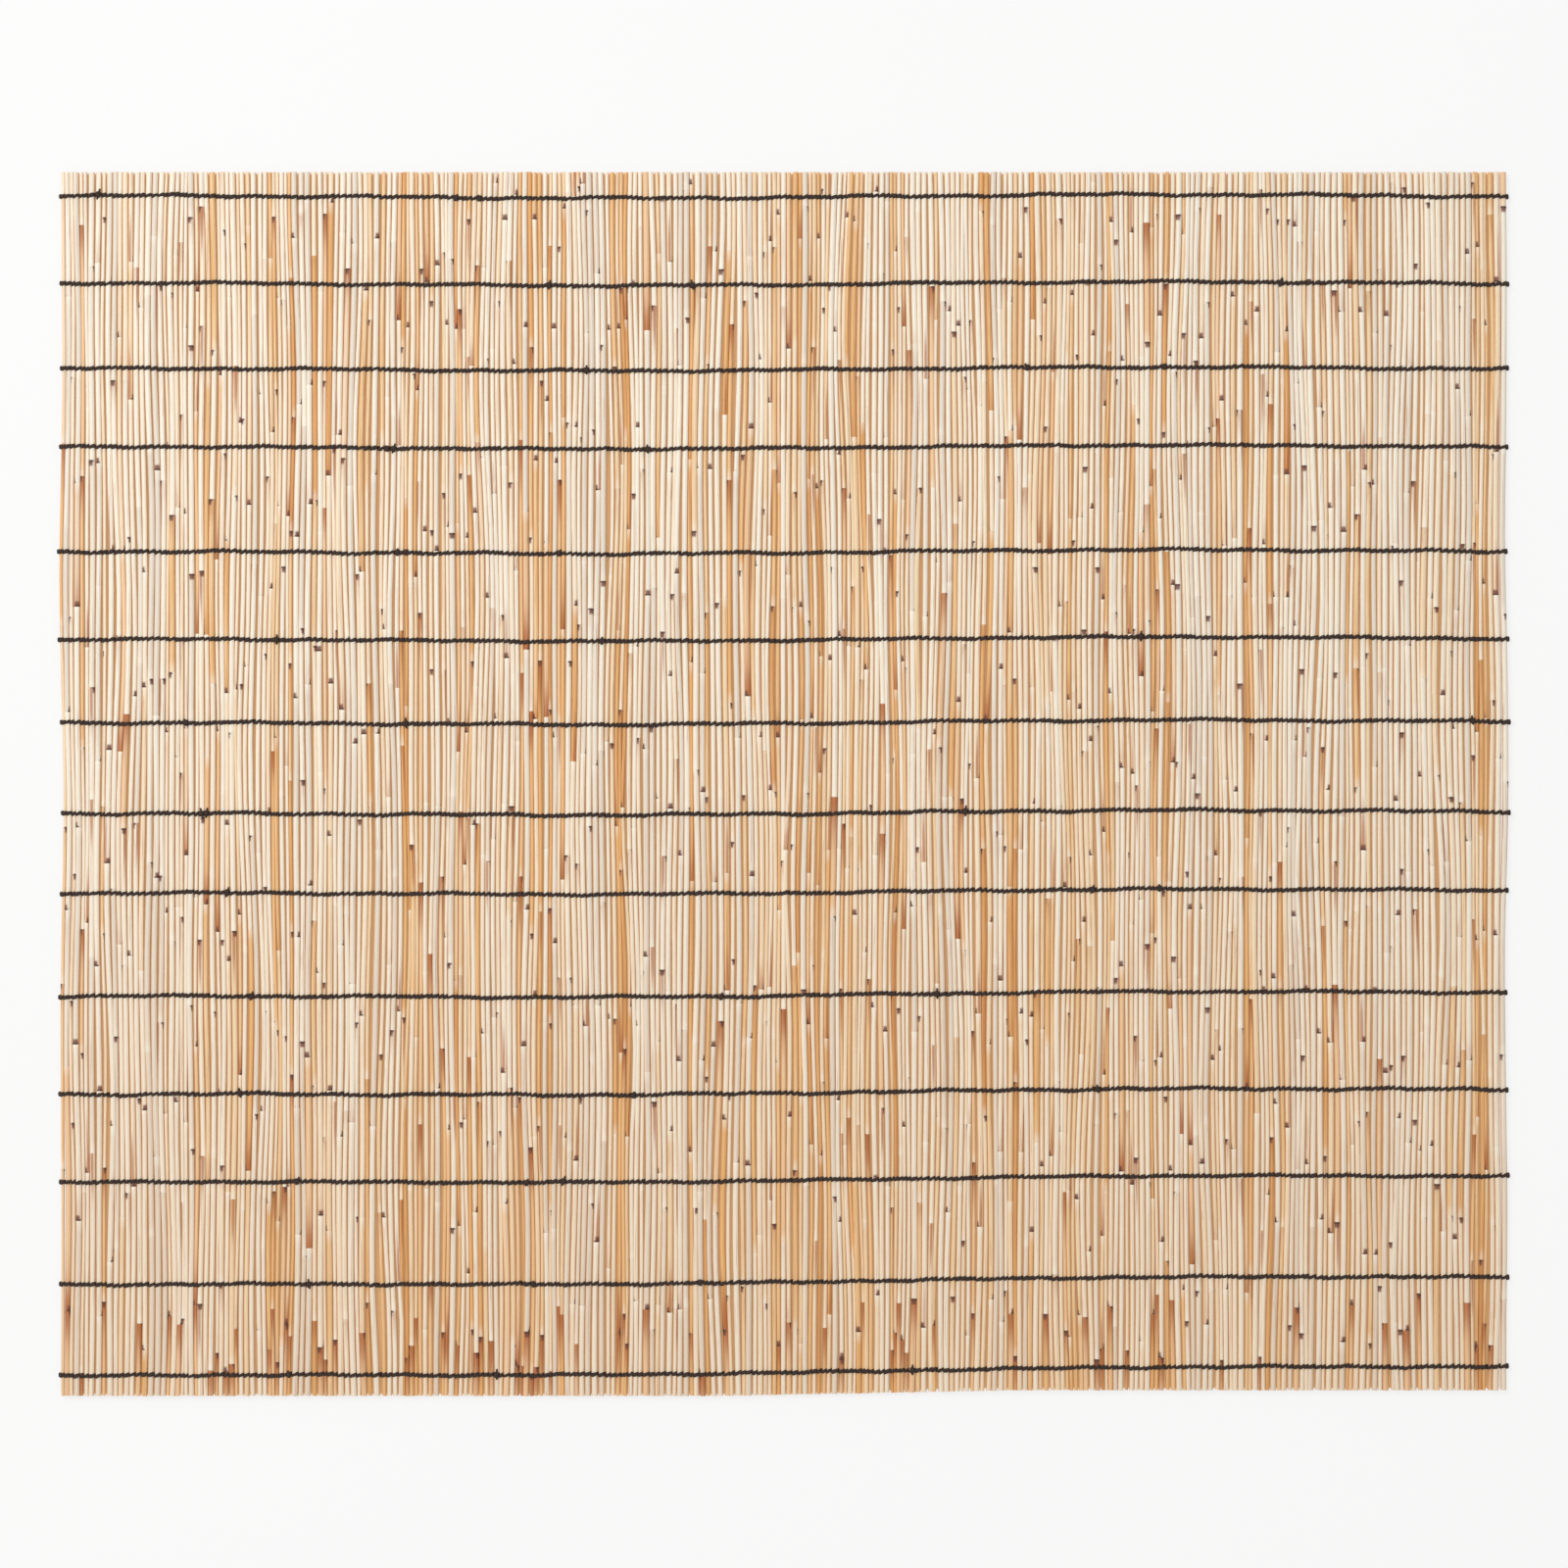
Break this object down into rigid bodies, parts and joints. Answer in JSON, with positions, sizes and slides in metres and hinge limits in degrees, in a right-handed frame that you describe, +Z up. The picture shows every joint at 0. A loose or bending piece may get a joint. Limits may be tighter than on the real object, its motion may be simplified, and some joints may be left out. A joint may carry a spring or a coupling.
{
  "type": "reed screening",
  "caption": "Flat mat of peeled reeds bound side by side with rows of dark twine, for screening a fence, balcony or window.",
  "frame": {"origin": "middle of the underside of the mat as it lies flat, midway between its edge reeds and its cut ends", "axes": "+X across the reeds along the rows of twine, +Y along the reeds towards the head of the mat, +Z up out of the mat's face"},
  "size_m": [1.4202, 1.2, 0.0092],
  "materials": {
    "reed": "satin peeled reed, cream to amber with brown joints and stains",
    "twine": "matt dark brown twisted twine"
  },
  "bodies": {
    "root": {"reeds_01": "reed", "reeds_02": "reed", "reeds_03": "reed", "reeds_04": "reed", "reeds_05": "reed", "reeds_06": "reed", "reeds_07": "reed", "reeds_08": "reed", "reeds_09": "reed", "reeds_10": "reed", "reeds_11": "reed", "reeds_12": "reed", "reeds_13": "reed", "reeds_14": "reed", "twine_01": "twine", "twine_02": "twine", "twine_03": "twine", "twine_04": "twine", "twine_05": "twine", "twine_06": "twine", "twine_07": "twine", "twine_08": "twine", "twine_09": "twine", "twine_10": "twine", "twine_11": "twine", "twine_12": "twine", "twine_13": "twine", "twine_14": "twine"}
  },
  "joints": []
}
